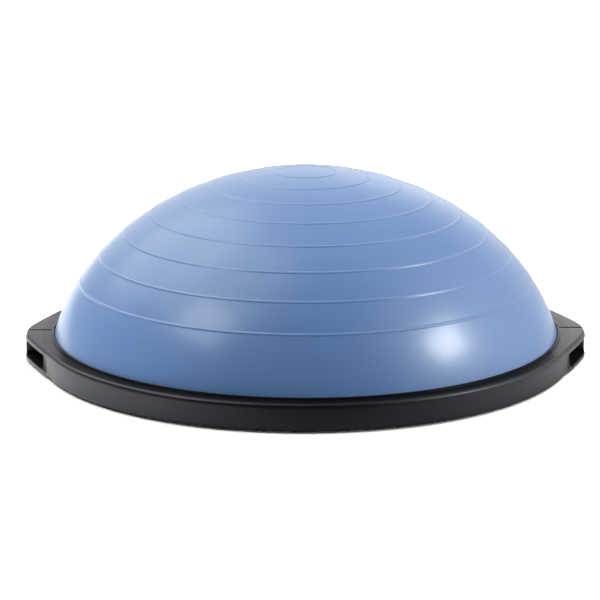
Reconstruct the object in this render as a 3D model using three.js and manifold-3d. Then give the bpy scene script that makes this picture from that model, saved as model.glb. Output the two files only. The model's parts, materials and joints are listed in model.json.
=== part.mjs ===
// Balance dome trainer: an air-filled dome, clamped by a two-piece rim onto a rigid round platform
// that has a finger handle at each end. Millimetres, +Z up, +X from handle to handle.
// The origin is on the floor, under the centre of the platform.

import * as THREE from "three";
import { mergeVertices } from "three/addons/utils/BufferGeometryUtils.js";
import Module from "manifold-3d";

const wasm = await Module();
wasm.setup();

// ---------------------------------------------------------------- driving dimensions

const RIM_RADIUS = 317; // outer wall of the rim
const HANDLE_REACH = 334; // centre of the platform to the tip of a handle
const TOTAL_HEIGHT = 226; // floor to the crown of the inflated dome
const FOOT_LIFT = 2; // floor to the underside of the platform
const LIP_TOP = 36; // floor to the top of the lip that holds the dome

// Gaps between pieces
const GAP = 0.3; // between pieces that touch
const HOLE_CLEARANCE = 0.4; // round a piece that sits in a hole or a recess
const BEAD_CLEARANCE = 0.7; // between the bead's edge and the rim round it
const LIP_CLEARANCE = 0.6; // between the dome and the lip round it
const FLAT_CLEARANCE = 0.5; // between the platform's flats and the handles
const SEAM = 0.6; // between the two halves of the rim
const OVERCUT = 1; // how far a cut runs past the face that it opens

// The inflated dome is the top part of an ellipsoid whose centre lies below the floor.
const DOME_HALF_WIDTH = 310.5;
const DOME_CENTRE_Z = -35;
const DOME_HALF_HEIGHT = TOTAL_HEIGHT - DOME_CENTRE_Z;
const BLADDER_WALL = 3.5;
const BLADDER_FLOOR_Z = 24.2; // underside of the bladder's flat floor
const BEAD_RADIUS = 304.6; // the flange that the rim clamps
const BEAD_TOP = 30.6;
const CLAMP_RADIUS = BEAD_RADIUS + BEAD_CLEARANCE;
const CLAMP_TOP = BEAD_TOP + HOLE_CLEARANCE;

// Rim section
const RIM_TOP = 33.1; // the flat top, outside the lip
const SHOULDER = { width: 4.2, height: 5.6 }; // the rounding from the flat top to the wall
const LIP_INNER_RADIUS = 299.8;
const LIP_OUTER_RADIUS = 303.6;
const LIP_FOOT_RADIUS = domeRadius(BEAD_TOP) + LIP_CLEARANCE;
const LIP_ROUND = 1;
const WALL_INNER_RADIUS = 314.2;
const WALL_INNER_ROUND = 3;
const BOTTOM_ROUND = 2.4;
const TOP_UNDERSIDE = 26.8;

// Handles
const HANDLE_TIP_HALF = 17; // half of the straight tip
const HANDLE_ROOT = { x: 300, y: 103 }; // where a flank meets the round wall
const HANDLE_BEND = { x: 319.3, y: 61 }; // bend of the flank, as a curve's control point
const HANDLE_START_X = 280; // a handle's block starts well inside the ring
const POCKET_FLOOR = 5;
const POCKET_CEILING = 26;
const POCKET_BACK = 309.5;
const POCKET_STRAIGHT_HALF = 50;
const POCKET_BEND_HALF = 74; // bend of the back wall's ends, as a curve's control point
const POCKET_MOUTH = { x: 295.4, y: 115 }; // where the back wall comes out to the round wall
const POCKET_WALL = 3;
const POCKET_WEB = 3; // end wall of each half ring, which divides the pocket at the joint

// Platform
const PLATE_RADIUS = 313.4;
const PLATE_EDGE_CHAMFER = 1;
const PLATE_FLAT_X = POCKET_BACK - POCKET_WALL - FLAT_CLEARANCE; // flats that clear the handles
const PLATE_TOP = 5;
const FLANGE_TOP = 7.5;
const RIB_TOP = BLADDER_FLOOR_Z - GAP;
const RIB_WIDTH = 3;
const RING_RIB_RADIUS = 160;
const RADIAL_RIBS = 12;
const BEAD_WALL = { inner: 300.4, outer: 304.4 };

// Screws
const SCREWS_PER_HALF = 8;
const SCREW_STEP = 20; // degrees; the first screw of a half is one step from the seam
const SCREW_CIRCLE = 308.5;
const SCREW_HEAD_RADIUS = 3.5;
const SCREW_HEAD_HEIGHT = 2.3;
const SCREW_HEAD_CHAMFER = 1;
const SCREW_HEAD_Z = FOOT_LIFT + 0.5; // the heads sit half a millimetre inside the underside
const SCREW_SHANK_RADIUS = 1.75;
const SCREW_LENGTH = 16;
const SCREW_POINT = 3;
const SCREW_SLOT = { length: 4, width: 1, depth: 1.3 };
const BOSS_RADIUS = 5.6;

// Feet
const FOOT_COUNT = 8;
const FOOT_CIRCLE = 262;
const FOOT_RADIUS = 14;
const FOOT_HEIGHT = 3;
const FOOT_CHAMFER = 0.8;

// Valve, at the centre of the platform
const CUP_RADIUS = 22;
const CUP_CEILING = 10.5;
const NECK_RADIUS = 8.6;
const VALVE_BORE = 5;
const VALVE_FLANGE_RADIUS = 14;
const VALVE_FLANGE_HEIGHT = 2;
const PLUG_STEM_RADIUS = 4.8;
const PLUG_STEM_TOP = 29;
const PLUG_STEM_POINT = { width: 1.5, height: 2 };
const PLUG_HEAD_RADIUS = 10;
const PLUG_HEAD_HEIGHT = 2.8;
const PLUG_TAB = { length: 13, width: 3, height: 3.2 };

// Roundness of the faceted solids
const RIM_STEPS = 60;
const INNER_STEPS = 48;
const DOME_ROWS = 11;
const SMALL_STEPS = 16;
const SCREW_STEPS = 8;
const CURVE_STEPS = 2;
const HANDLE_CURVE_STEPS = 5;
const MERGE_DISTANCE = 1e-4; // vertices closer than this are one

// ---------------------------------------------------------------- materials

function finish(color, roughness, metalness = 0) {
  return new THREE.MeshStandardMaterial({ color, roughness, metalness });
}

const domeVinyl = finish(0x6f93c9, 0.42);
const rimPlastic = finish(0x2c2d30, 0.55);
const platformPlastic = finish(0x26272a, 0.6);
const footRubber = finish(0x1b1c1e, 0.85);
const screwSteel = finish(0x8d9094, 0.35, 1);
const valveVinyl = finish(0x5479b0, 0.5);
const plugPlastic = finish(0xe6e7e4, 0.4);

// ---------------------------------------------------------------- tools for solids

// A three.js geometry as a solid that can be joined and cut.
function solid(geometry) {
  const bare = geometry.index ? geometry.toNonIndexed() : geometry.clone();
  bare.deleteAttribute("normal");
  bare.deleteAttribute("uv");
  const merged = mergeVertices(bare, MERGE_DISTANCE);
  return new wasm.Manifold(
    new wasm.Mesh({
      numProp: 3,
      vertProperties: new Float32Array(merged.attributes.position.array),
      triVerts: new Uint32Array(merged.index.array),
    }),
  );
}

// A solid back as a three.js geometry.
function geometryOf(manifold) {
  const mesh = manifold.getMesh();
  const geometry = new THREE.BufferGeometry();
  geometry.setAttribute("position", new THREE.BufferAttribute(mesh.vertProperties, mesh.numProp));
  geometry.setIndex(new THREE.BufferAttribute(mesh.triVerts, 1));
  geometry.computeVertexNormals();
  return geometry;
}

// A solid of revolution about Z. The outline holds (radius, height) points, outer side going up.
function turned(outline, steps) {
  return solid(new THREE.LatheGeometry(outline, steps).rotateX(Math.PI / 2));
}

// A solid of revolution whose outline is a loop that doesn't touch the axis.
function turnedLoop(outline, steps) {
  return turned([...outline, outline[0].clone()], steps);
}

// A round bar along Z from one height to another.
function bar(radius, bottom, top, steps) {
  return turned([point(0, bottom), point(radius, bottom), point(radius, top), point(0, top)], steps);
}

// A block from its lowest to its highest corner.
function block(low, high) {
  const size = high.map((value, i) => value - low[i]);
  const middle = high.map((value, i) => (value + low[i]) / 2);
  return solid(new THREE.BoxGeometry(...size).translate(...middle));
}

function point(radius, height) {
  return new THREE.Vector2(radius, height);
}

// The dome's radius at a height.
function domeRadius(z) {
  const share = (z - DOME_CENTRE_Z) / DOME_HALF_HEIGHT;
  return DOME_HALF_WIDTH * Math.sqrt(1 - share * share);
}

// Points up the dome's side from a height to the crown, evenly spaced by angle round the ellipse.
function domeSide(fromZ, inset, rows) {
  const halfHeight = DOME_HALF_HEIGHT - inset;
  const start = Math.asin((fromZ - DOME_CENTRE_Z) / halfHeight);
  return Array.from({ length: rows + 1 }, (_, i) => {
    const angle = start + ((Math.PI / 2 - start) * i) / rows;
    const radius = i === rows ? 0 : (DOME_HALF_WIDTH - inset) * Math.cos(angle);
    return point(radius, DOME_CENTRE_Z + halfHeight * Math.sin(angle));
  });
}

// Copies of a place on a circle, as {x, y, angle}.
function around(radius, degrees) {
  return degrees.map((value) => {
    const angle = THREE.MathUtils.degToRad(value);
    return { x: radius * Math.cos(angle), y: radius * Math.sin(angle), angle };
  });
}

function range(count, place) {
  return Array.from({ length: count }, (_, i) => place(i));
}

const screwPlaces = around(SCREW_CIRCLE, [
  ...range(SCREWS_PER_HALF, (i) => -SCREW_STEP * (i + 1)),
  ...range(SCREWS_PER_HALF, (i) => SCREW_STEP * (i + 1)),
]);
const footPlaces = around(FOOT_CIRCLE, range(FOOT_COUNT, (i) => ((i + 0.5) * 360) / FOOT_COUNT));

// ---------------------------------------------------------------- dome bladder

// A closed air bag: the domed top, a flat floor, a clamped bead round the edge and a hole for the valve.
function domeBladder() {
  const outer = turned(
    [
      point(0, BLADDER_FLOOR_Z),
      point(BEAD_RADIUS, BLADDER_FLOOR_Z),
      point(BEAD_RADIUS, BEAD_TOP),
      ...domeSide(BEAD_TOP, 0, DOME_ROWS),
    ],
    INNER_STEPS,
  );
  const floorTop = BLADDER_FLOOR_Z + BLADDER_WALL;
  const air = turned([point(0, floorTop), ...domeSide(floorTop, BLADDER_WALL, DOME_ROWS)], INNER_STEPS);
  const valveHole = bar(NECK_RADIUS + GAP, BLADDER_FLOOR_Z - OVERCUT, floorTop + OVERCUT, SMALL_STEPS);
  return outer.subtract(air).subtract(valveHole);
}

// ---------------------------------------------------------------- rim

// The section of the rim where it is round: a low lip at the dome, a flat top, a rounded shoulder
// and an upright wall, with a rounded bottom edge.
function rimSection() {
  const underside = TOP_UNDERSIDE - WALL_INNER_ROUND;
  const section = new THREE.Shape();
  section.moveTo(LIP_FOOT_RADIUS, CLAMP_TOP);
  section.lineTo(CLAMP_RADIUS, CLAMP_TOP);
  section.lineTo(CLAMP_RADIUS, TOP_UNDERSIDE);
  section.lineTo(WALL_INNER_RADIUS - WALL_INNER_ROUND, TOP_UNDERSIDE);
  section.quadraticCurveTo(WALL_INNER_RADIUS, TOP_UNDERSIDE, WALL_INNER_RADIUS, underside);
  section.lineTo(WALL_INNER_RADIUS, FOOT_LIFT);
  section.lineTo(RIM_RADIUS - BOTTOM_ROUND, FOOT_LIFT);
  section.quadraticCurveTo(RIM_RADIUS, FOOT_LIFT, RIM_RADIUS, FOOT_LIFT + BOTTOM_ROUND);
  section.lineTo(RIM_RADIUS, RIM_TOP - SHOULDER.height);
  section.quadraticCurveTo(RIM_RADIUS, RIM_TOP, RIM_RADIUS - SHOULDER.width, RIM_TOP);
  section.lineTo(LIP_OUTER_RADIUS, RIM_TOP);
  section.quadraticCurveTo(LIP_OUTER_RADIUS, LIP_TOP, LIP_INNER_RADIUS + LIP_ROUND, LIP_TOP);
  section.quadraticCurveTo(LIP_INNER_RADIUS, LIP_TOP, LIP_INNER_RADIUS, LIP_TOP - LIP_ROUND);
  section.closePath();
  return section.getPoints(CURVE_STEPS).slice(0, -1);
}

// A handle's outline seen from above, on the side that `side` (1 or -1) points to.
function handleOutline(side) {
  const { x: rootX, y: rootY } = HANDLE_ROOT;
  const { x: bendX, y: bendY } = HANDLE_BEND;
  const outline = new THREE.Shape();
  outline.moveTo(side * HANDLE_START_X, -side * rootY);
  outline.lineTo(side * rootX, -side * rootY);
  outline.quadraticCurveTo(side * bendX, -side * bendY, side * HANDLE_REACH, -side * HANDLE_TIP_HALF);
  outline.lineTo(side * HANDLE_REACH, side * HANDLE_TIP_HALF);
  outline.quadraticCurveTo(side * bendX, side * bendY, side * rootX, side * rootY);
  outline.lineTo(side * HANDLE_START_X, side * rootY);
  outline.closePath();
  return outline;
}

// A flat slab of an outline, with top and bottom edges rounded off inside the outline.
function slab(outline, bottom, top, round = { width: 0, height: 0 }) {
  const geometry = new THREE.ExtrudeGeometry(outline, {
    depth: top - bottom - 2 * round.height,
    curveSegments: HANDLE_CURVE_STEPS,
    bevelEnabled: round.height > 0,
    bevelThickness: round.height,
    bevelSize: round.width,
    bevelOffset: -round.width,
    bevelSegments: 2,
  });
  return solid(geometry.translate(0, 0, bottom + round.height));
}

// The body of a handle before its pocket is cut, with the rim's own bottom edge and shoulder. Its
// two edges are rounded differently, so it is two slabs that overlap over most of their height.
function handleBlock(side) {
  const bottomRound = { width: BOTTOM_ROUND, height: BOTTOM_ROUND };
  const lower = slab(handleOutline(side), FOOT_LIFT, RIM_TOP - SHOULDER.height, bottomRound);
  const upper = slab(handleOutline(side), FOOT_LIFT + SHOULDER.height, RIM_TOP, SHOULDER);
  return lower.add(upper);
}

// The finger pocket: open outwards, with a straight back wall that curves out at both ends, and
// divided in the middle by the end walls of the two half rings.
function fingerPocket(side) {
  const outside = HANDLE_REACH + OVERCUT;
  const { x: mouthX, y: mouthY } = POCKET_MOUTH;
  const back = side * POCKET_BACK;
  const outline = new THREE.Shape();
  outline.moveTo(side * outside, -side * mouthY);
  outline.lineTo(side * outside, side * mouthY);
  outline.lineTo(side * mouthX, side * mouthY);
  outline.quadraticCurveTo(back, side * POCKET_BEND_HALF, back, side * POCKET_STRAIGHT_HALF);
  outline.lineTo(back, -side * POCKET_STRAIGHT_HALF);
  outline.quadraticCurveTo(back, -side * POCKET_BEND_HALF, side * mouthX, -side * mouthY);
  outline.closePath();
  const webs = SEAM / 2 + POCKET_WEB;
  const divider = block([-outside, -webs, 0], [outside, webs, RIM_TOP]);
  return slab(outline, POCKET_FLOOR, POCKET_CEILING).subtract(divider);
}

// What lies inside the rim: the platform below, the bead above it, and the dome through the lip.
function rimInside() {
  const below = bar(WALL_INNER_RADIUS, 0, TOP_UNDERSIDE, RIM_STEPS);
  const flat = POCKET_BACK - POCKET_WALL;
  const between = block([-flat, -RIM_RADIUS, -OVERCUT], [flat, RIM_RADIUS, TOP_UNDERSIDE + OVERCUT]);
  const above = turned(
    [
      point(0, FLANGE_TOP),
      point(CLAMP_RADIUS, FLANGE_TOP),
      point(CLAMP_RADIUS, CLAMP_TOP),
      point(LIP_FOOT_RADIUS, CLAMP_TOP),
      point(LIP_INNER_RADIUS, LIP_TOP - LIP_ROUND),
      point(LIP_INNER_RADIUS, LIP_TOP + OVERCUT),
      point(0, LIP_TOP + OVERCUT),
    ],
    RIM_STEPS,
  );
  return below.intersect(between).add(above);
}

// Both halves of the rim as one ring, with handles, screw bosses and pilot holes.
function wholeRim() {
  let ring = turnedLoop(rimSection(), RIM_STEPS);
  for (const side of [1, -1]) {
    ring = ring.add(handleBlock(side).subtract(rimInside())).subtract(fingerPocket(side));
  }
  const beadSpace = bar(CLAMP_RADIUS, 0, LIP_TOP, RIM_STEPS);
  for (const { x, y } of screwPlaces) {
    const boss = bar(BOSS_RADIUS, FLANGE_TOP + GAP, TOP_UNDERSIDE + OVERCUT, SCREW_STEPS);
    ring = ring.add(boss.translate([x, y, 0]).subtract(beadSpace));
  }
  for (const { x, y } of screwPlaces) {
    const depth = SCREW_HEAD_Z + SCREW_HEAD_HEIGHT + SCREW_LENGTH + OVERCUT;
    const pilot = bar(SCREW_SHANK_RADIUS + GAP, FOOT_LIFT, depth, SCREW_STEPS).translate([x, y, 0]);
    ring = ring.subtract(pilot);
  }
  return ring;
}

// One half of the rim: side -1 is the front, 1 the rear.
function halfOf(ring, side) {
  const far = HANDLE_REACH + OVERCUT;
  const near = SEAM / 2;
  const low = [-far, side > 0 ? near : -far, -OVERCUT];
  const high = [far, side > 0 ? far : -near, LIP_TOP + OVERCUT];
  return ring.intersect(block(low, high));
}

// ---------------------------------------------------------------- platform

// Radial section of the platform, from the cup round the valve out to the clamped edge.
function platformSection() {
  const hubOuter = CUP_RADIUS + RIB_WIDTH;
  const neckHole = NECK_RADIUS + HOLE_CLEARANCE;
  const cupRoof = CUP_CEILING + RIB_WIDTH;
  return [
    point(CUP_RADIUS, FOOT_LIFT),
    point(PLATE_RADIUS - PLATE_EDGE_CHAMFER, FOOT_LIFT),
    point(PLATE_RADIUS, FOOT_LIFT + PLATE_EDGE_CHAMFER),
    point(PLATE_RADIUS, FLANGE_TOP),
    point(BEAD_WALL.outer, FLANGE_TOP),
    point(BEAD_WALL.outer, RIB_TOP),
    point(BEAD_WALL.inner, RIB_TOP),
    point(BEAD_WALL.inner, PLATE_TOP),
    point(RING_RIB_RADIUS + RIB_WIDTH, PLATE_TOP),
    point(RING_RIB_RADIUS + RIB_WIDTH, RIB_TOP),
    point(RING_RIB_RADIUS, RIB_TOP),
    point(RING_RIB_RADIUS, PLATE_TOP),
    point(hubOuter, PLATE_TOP),
    point(hubOuter, RIB_TOP),
    point(CUP_RADIUS, RIB_TOP),
    point(CUP_RADIUS, cupRoof),
    point(neckHole, cupRoof),
    point(neckHole, CUP_CEILING),
    point(CUP_RADIUS, CUP_CEILING),
  ];
}

// One of the upright ribs that run from the hub to the bead wall.
function radialRib(index) {
  const rib = block(
    [CUP_RADIUS + OVERCUT, -RIB_WIDTH / 2, PLATE_TOP - OVERCUT],
    [BEAD_WALL.inner + OVERCUT, RIB_WIDTH / 2, RIB_TOP],
  );
  return rib.rotate([0, 0, ((index + 0.5) * 360) / RADIAL_RIBS]);
}

// The rigid platform: a flat plate, smooth below and ribbed above, with recesses for feet and screws.
function basePlatform() {
  let platform = turnedLoop(platformSection(), INNER_STEPS);
  for (let i = 0; i < RADIAL_RIBS; i++) {
    platform = platform.add(radialRib(i));
  }
  for (const { x, y } of screwPlaces) {
    const headTop = SCREW_HEAD_Z + SCREW_HEAD_HEIGHT + GAP;
    const headRecess = bar(SCREW_HEAD_RADIUS + HOLE_CLEARANCE, 0, headTop, SCREW_STEPS);
    const shankHole = bar(SCREW_SHANK_RADIUS + GAP, 0, FLANGE_TOP + OVERCUT, SCREW_STEPS);
    platform = platform.subtract(headRecess.add(shankHole).translate([x, y, 0]));
  }
  for (const { x, y } of footPlaces) {
    const recess = bar(FOOT_RADIUS + HOLE_CLEARANCE, 0, FOOT_HEIGHT + GAP, SMALL_STEPS);
    platform = platform.subtract(recess.translate([x, y, 0]));
  }
  const reach = PLATE_RADIUS + OVERCUT;
  const between = block([-PLATE_FLAT_X, -reach, 0], [PLATE_FLAT_X, reach, LIP_TOP]);
  return platform.intersect(between);
}

// ---------------------------------------------------------------- small pieces

// A pan-head self-tapping screw, head down, with a cross recess.
function rimScrew() {
  const shankTop = SCREW_HEAD_HEIGHT + SCREW_LENGTH;
  const body = turned(
    [
      point(0, 0),
      point(SCREW_HEAD_RADIUS - SCREW_HEAD_CHAMFER, 0),
      point(SCREW_HEAD_RADIUS, SCREW_HEAD_CHAMFER),
      point(SCREW_HEAD_RADIUS, SCREW_HEAD_HEIGHT),
      point(SCREW_SHANK_RADIUS, SCREW_HEAD_HEIGHT),
      point(SCREW_SHANK_RADIUS, shankTop - SCREW_POINT),
      point(0, shankTop),
    ],
    SCREW_STEPS,
  );
  const long = SCREW_SLOT.length / 2;
  const half = SCREW_SLOT.width / 2;
  return body
    .subtract(block([-long, -half, -OVERCUT], [long, half, SCREW_SLOT.depth]))
    .subtract(block([-half, -long, -OVERCUT], [half, long, SCREW_SLOT.depth]));
}

// A round rubber foot with a chamfered lower edge.
function rubberFoot() {
  return turned(
    [
      point(0, 0),
      point(FOOT_RADIUS - FOOT_CHAMFER, 0),
      point(FOOT_RADIUS, FOOT_CHAMFER),
      point(FOOT_RADIUS, FOOT_HEIGHT),
      point(0, FOOT_HEIGHT),
    ],
    SMALL_STEPS,
  );
}

// The valve's neck, which hangs from a flange bonded to the bladder's floor.
function valveSeat() {
  const flangeBottom = BLADDER_FLOOR_Z + BLADDER_WALL + GAP;
  const flangeTop = flangeBottom + VALVE_FLANGE_HEIGHT;
  return turnedLoop(
    [
      point(VALVE_BORE, CUP_CEILING),
      point(NECK_RADIUS, CUP_CEILING),
      point(NECK_RADIUS, flangeBottom),
      point(VALVE_FLANGE_RADIUS, flangeBottom),
      point(VALVE_FLANGE_RADIUS, flangeTop),
      point(VALVE_BORE, flangeTop),
    ],
    SMALL_STEPS,
  );
}

// The push-in plug: a stem that fills the valve, a round head and a tab to pull it by.
function valvePlug() {
  const headTop = CUP_CEILING - GAP;
  const headBottom = headTop - PLUG_HEAD_HEIGHT;
  const body = turned(
    [
      point(0, headBottom),
      point(PLUG_HEAD_RADIUS, headBottom),
      point(PLUG_HEAD_RADIUS, headTop),
      point(PLUG_STEM_RADIUS, headTop),
      point(PLUG_STEM_RADIUS, PLUG_STEM_TOP - PLUG_STEM_POINT.height),
      point(PLUG_STEM_RADIUS - PLUG_STEM_POINT.width, PLUG_STEM_TOP),
      point(0, PLUG_STEM_TOP),
    ],
    SMALL_STEPS,
  );
  const halfLength = PLUG_TAB.length / 2;
  const halfWidth = PLUG_TAB.width / 2;
  const tab = block(
    [-halfLength, -halfWidth, headBottom - PLUG_TAB.height],
    [halfLength, halfWidth, headBottom + OVERCUT],
  );
  return body.add(tab);
}

// ---------------------------------------------------------------- assembly

const trainer = new THREE.Group();

function place(name, manifold, material, x = 0, y = 0, z = 0) {
  const mesh = new THREE.Mesh(geometryOf(manifold), material.clone());
  mesh.name = name;
  mesh.position.set(x, y, z);
  trainer.add(mesh);
}

function numbered(stem, index) {
  return `${stem}_${String(index + 1).padStart(2, "0")}`;
}

const rim = wholeRim();
place("rim_ring_front", halfOf(rim, -1), rimPlastic);
place("rim_ring_rear", halfOf(rim, 1), rimPlastic);
place("dome_bladder", domeBladder(), domeVinyl);
place("base_platform", basePlatform(), platformPlastic);
place("valve_seat", valveSeat(), valveVinyl);
place("valve_plug", valvePlug(), plugPlastic);

const screw = rimScrew();
screwPlaces.forEach(({ x, y, angle }, i) => {
  place(numbered("rim_screw", i), screw, screwSteel, x, y, SCREW_HEAD_Z);
  trainer.children.at(-1).rotation.z = angle;
});

const foot = rubberFoot();
footPlaces.forEach(({ x, y }, i) => {
  place(numbered("rubber_foot", i), foot, footRubber, x, y, 0);
});

export default trainer;
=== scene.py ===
"""Balance dome trainer: the detailed visual model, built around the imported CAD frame.

A blue inflated dome with raised rings is clamped by a two-piece black rim, with a finger handle
at each end, onto a rigid platform that stands on rubber feet. The air valve and its plug are
under the platform. Metres, +Z up, +X from handle to handle.
"""

import json
import math

import bmesh
import bpy
import numpy as np
from mathutils import Matrix, Vector

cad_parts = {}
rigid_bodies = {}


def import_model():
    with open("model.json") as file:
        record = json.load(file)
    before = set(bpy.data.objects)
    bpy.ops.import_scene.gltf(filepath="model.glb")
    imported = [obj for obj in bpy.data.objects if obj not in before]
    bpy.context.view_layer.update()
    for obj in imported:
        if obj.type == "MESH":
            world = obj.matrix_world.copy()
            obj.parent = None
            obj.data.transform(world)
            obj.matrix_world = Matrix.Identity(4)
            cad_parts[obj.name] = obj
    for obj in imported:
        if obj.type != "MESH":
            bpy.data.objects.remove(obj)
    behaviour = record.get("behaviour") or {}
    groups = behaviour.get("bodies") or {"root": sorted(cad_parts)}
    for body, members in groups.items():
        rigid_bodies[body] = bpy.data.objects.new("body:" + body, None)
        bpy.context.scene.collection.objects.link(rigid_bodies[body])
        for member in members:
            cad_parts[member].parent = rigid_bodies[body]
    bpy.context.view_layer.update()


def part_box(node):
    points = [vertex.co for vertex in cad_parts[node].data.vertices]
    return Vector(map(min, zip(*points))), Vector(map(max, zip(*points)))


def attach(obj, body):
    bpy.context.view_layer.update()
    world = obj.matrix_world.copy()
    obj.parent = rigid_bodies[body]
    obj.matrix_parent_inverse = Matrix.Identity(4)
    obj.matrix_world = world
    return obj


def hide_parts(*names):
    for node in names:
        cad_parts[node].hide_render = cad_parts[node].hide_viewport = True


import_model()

MM = 0.001
TURN = 2 * math.pi

# ---------------------------------------------------------------- sizes, from the frame

BODY = "trainer"
PLUG_BODY = "plug"

rim_low, rim_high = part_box("rim_ring_front")
bladder_low, bladder_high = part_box("dome_bladder")
platform_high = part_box("base_platform")[1]
seat_low, seat_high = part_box("valve_seat")
plug_low, plug_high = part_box("valve_plug")

TIP = rim_high.x  # centre to the tip of a handle
RIM_BOTTOM = rim_low.z
LIP_TOP = rim_high.z
CROWN = bladder_high.z
BEAD_RADIUS = bladder_high.x
BLADDER_FLOOR = bladder_low.z
PLATE_RADIUS = platform_high.y
PLATE_FLAT = platform_high.x
RIB_TOP = platform_high.z
RIM_RADIUS = -rim_low.y

# The inflated dome is the top of an ellipsoid centred below the floor.
DOME_HALF_WIDTH = 310.5 * MM
DOME_CENTRE = -35 * MM
DOME_HALF_HEIGHT = CROWN - DOME_CENTRE

# Eight raised rings, evenly spaced along the dome's surface, counted from the crown.
RING_COUNT = 8
FIRST_RING = 36.5 * MM
RING_PITCH = 38.9 * MM
RING_HALF_WIDTH = 2.1 * MM
RING_HEIGHT = 0.6 * MM
RING_SHARPNESS = 1.6


# ---------------------------------------------------------------- mesh tools


def new_piece(name, mesh, body, material, nodes):
    """A shown piece of the object: its body and the CAD nodes it stands for."""
    piece = bpy.data.objects.new(name, mesh)
    bpy.context.scene.collection.objects.link(piece)
    piece.data.materials.clear()
    piece.data.materials.append(material)
    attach(piece, body)
    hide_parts(*nodes)
    return piece


def smooth(mesh, angle=math.radians(32)):
    """Smooth shading, with edges sharper than the angle kept crisp."""
    made = bmesh.new()
    made.from_mesh(mesh)
    for face in made.faces:
        face.smooth = True
    for edge in made.edges:
        edge.smooth = len(edge.link_faces) == 2 and edge.calc_face_angle(0) < angle
    made.to_mesh(mesh)
    made.free()
    return mesh


def mesh_from(name, points, faces):
    """A mesh with its doubled points merged and its faces pointing out."""
    mesh = bpy.data.meshes.new(name)
    mesh.from_pydata([tuple(p) for p in points], [], faces)
    made = bmesh.new()
    made.from_mesh(mesh)
    bmesh.ops.remove_doubles(made, verts=made.verts, dist=1e-7)
    bmesh.ops.recalc_face_normals(made, faces=made.faces)
    made.to_mesh(mesh)
    made.free()
    return mesh


def turned(name, outline, steps, closed=False):
    """A surface of revolution about Z. The outline is (radius, height) pairs; closed joins its ends."""
    outline = np.asarray(outline, float)
    angles = np.arange(steps) * TURN / steps
    ring = np.stack([np.cos(angles), np.sin(angles)], axis=1)
    points, faces, rows = [], [], []
    for radius, height in outline:
        start = len(points)
        if radius < 1e-9:
            points.append((0, 0, height))
            rows.append([start] * steps)
        else:
            points.extend((radius * c, radius * s, height) for c, s in ring)
            rows.append(list(range(start, start + steps)))
    pairs = list(zip(rows[:-1], rows[1:]))
    if closed:
        pairs.append((rows[-1], rows[0]))
    for low, high in pairs:
        for i in range(steps):
            j = (i + 1) % steps
            corners = dict.fromkeys((low[i], low[j], high[j], high[i]))
            if len(corners) > 2:
                faces.append(tuple(corners))
    return mesh_from(name, points, faces)


def lofted(name, loops):
    """A skin through a run of loops with equally many points, and a face across each end."""
    count = len(loops[0])
    points = [point for loop in loops for point in loop]
    last = len(points) - count
    faces = []
    for start in range(0, last, count):
        for i in range(count):
            j = (i + 1) % count
            faces.append((start + i, start + j, start + count + j, start + count + i))
    faces.append(tuple(range(count)))
    faces.append(tuple(range(last, len(points))))
    return mesh_from(name, points, faces)


def arc(centre, radius, start, end, steps):
    """Points of an arc in the (radius, height) plane; angles in degrees, from outwards, up."""
    angles = np.radians(np.linspace(start, end, steps + 1))
    return [(centre[0] + radius * math.cos(a), centre[1] + radius * math.sin(a)) for a in angles]


def curve(start, bend, end, steps):
    """Points of a quadratic curve, without its first point."""
    made = []
    for t in np.linspace(0, 1, steps + 1)[1:]:
        a, b, c = (1 - t) ** 2, 2 * t * (1 - t), t * t
        made.append(tuple(a * s + b * m + c * e for s, m, e in zip(start, bend, end)))
    return made


def box_mesh(name, low, high, bevel=0.0):
    """A box between two corners, with its edges rounded if a bevel is given."""
    made = bmesh.new()
    bmesh.ops.create_cube(made, size=1)
    low, high = Vector(low), Vector(high)
    for v in made.verts:
        v.co = Vector(((a + 0.5) * (h - l) + l) for a, l, h in zip(v.co, low, high))
    if bevel:
        bmesh.ops.bevel(
            made, geom=made.edges, offset=bevel, segments=3, affect="EDGES", profile=0.5
        )
    mesh = bpy.data.meshes.new(name)
    made.to_mesh(mesh)
    made.free()
    return mesh


def joined(name, meshes):
    """One mesh that holds all the given ones."""
    made = bmesh.new()
    for mesh in meshes:
        made.from_mesh(mesh)
    mesh = bpy.data.meshes.new(name)
    made.to_mesh(mesh)
    made.free()
    return mesh


def moved(mesh, matrix):
    """A transformed copy of a mesh."""
    copy = mesh.copy()
    copy.transform(matrix)
    return copy


def vertex_places(mesh):
    """The mesh's vertices as an array with one row for each."""
    places = np.zeros(len(mesh.vertices) * 3)
    mesh.vertices.foreach_get("co", places)
    return places.reshape(-1, 3)


def store(mesh, name, values):
    """Keeps a number for each vertex, which a material can read by name."""
    attribute = mesh.attributes.new(name, "FLOAT", "POINT")
    attribute.data.foreach_set("value", np.asarray(values, np.float32))


def cut(base, tool, operation):
    """The base mesh with the tool mesh cut away (DIFFERENCE), added (UNION) or kept (INTERSECT)."""
    scene = bpy.context.scene.collection.objects
    body = bpy.data.objects.new("cut_body", base)
    knife = bpy.data.objects.new("cut_tool", tool)
    scene.link(body)
    scene.link(knife)
    modifier = body.modifiers.new("cut", "BOOLEAN")
    modifier.operation = operation
    modifier.object = knife
    modifier.solver = "EXACT"
    bpy.context.view_layer.update()
    graph = bpy.context.evaluated_depsgraph_get()
    mesh = bpy.data.meshes.new_from_object(body.evaluated_get(graph), depsgraph=graph)
    bpy.data.objects.remove(body)
    bpy.data.objects.remove(knife)
    return mesh


# ---------------------------------------------------------------- materials

RIM_SHADE = 0.005
PLATFORM_SHADE = 0.008
RIM_SHEEN = (0.84, 0.87, 1.0, 1)  # tint of the black plastic's reflections
RIM_GLOSS = 0.45
# gloss left in the finger pockets, cut so low that it paints them dark as shade
POCKET_PAINTED_SHADE_GLOSS = 0.05
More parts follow.
